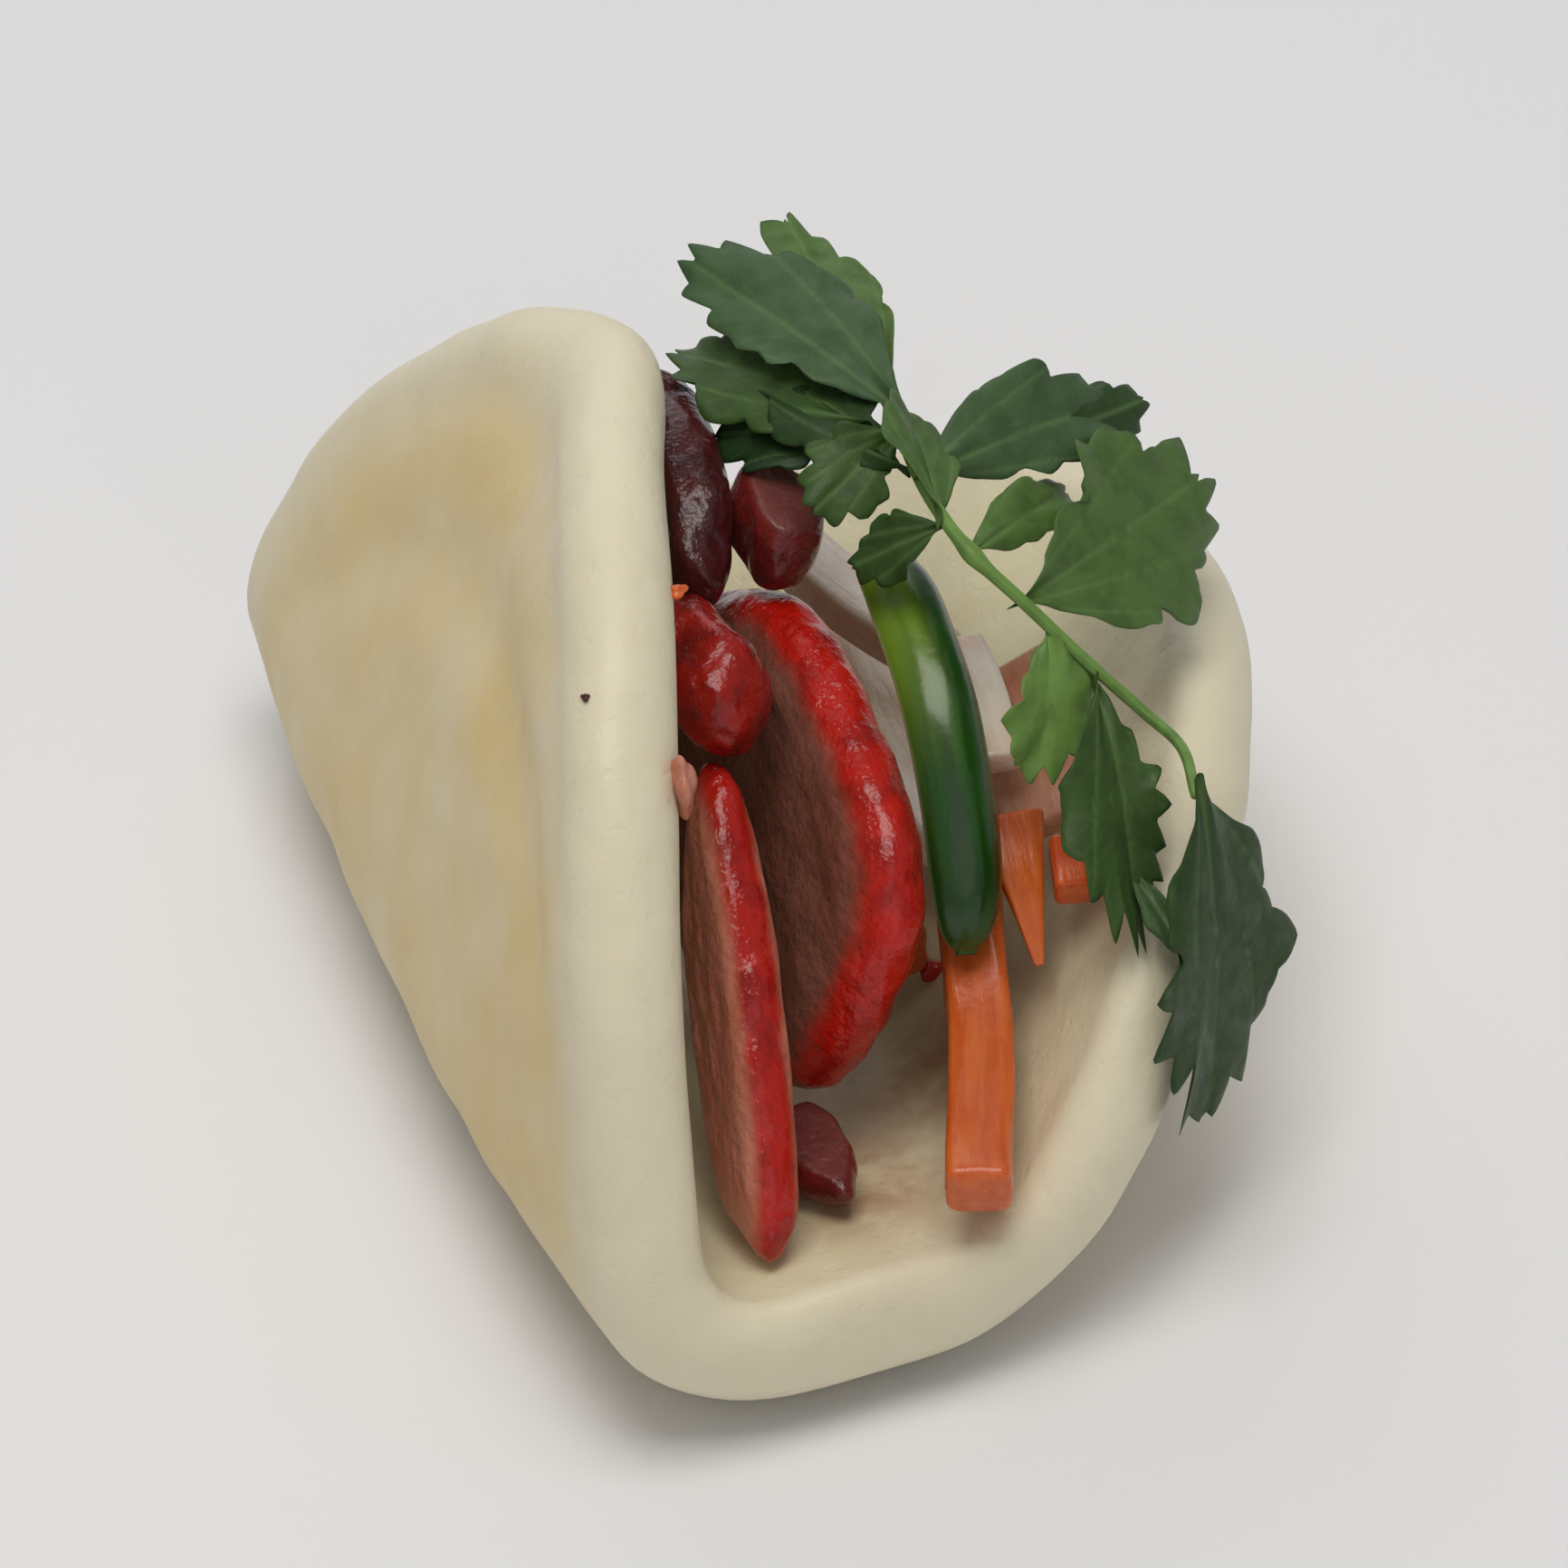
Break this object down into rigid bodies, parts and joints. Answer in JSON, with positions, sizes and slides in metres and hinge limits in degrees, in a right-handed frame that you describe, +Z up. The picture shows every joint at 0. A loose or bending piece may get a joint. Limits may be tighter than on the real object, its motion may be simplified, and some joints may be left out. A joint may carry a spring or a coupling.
{
  "type": "char siu bao bun",
  "caption": "Open folded steamed bun filled with glazed roast pork, pickled carrot and daikon sticks, a green pepper strip and a coriander sprig.",
  "frame": {"origin": "on the flat spot under the fold of the bun, where it rests, at the middle of the fold's length", "axes": "+Z up; +Y along the fold, towards the far end; +X towards the flap that leans outwards"},
  "size_m": [0.0681, 0.097, 0.0585],
  "materials": {
    "dough": "satin",
    "pork": "gloss",
    "carrot": "gloss",
    "daikon": "gloss",
    "pepper": "gloss",
    "coriander": "satin"
  },
  "bodies": {
    "root": {"bun": "dough", "pork_slice_left": "pork", "pork_slice_middle": "pork", "pork_chunk_glazed": "pork", "pork_chunk_cut": "pork", "pork_slice_rear": "pork", "pork_slice_low": "pork", "pork_slice_far": "pork", "carrot_stick_long": "carrot", "carrot_wedge": "carrot", "carrot_cube": "carrot", "carrot_stick_low": "carrot", "daikon_ribbon": "daikon", "daikon_stick_1": "daikon", "daikon_stick_2": "daikon", "daikon_stick_3": "daikon", "pepper_strip": "pepper", "coriander_sprig": "coriander"}
  },
  "joints": []
}
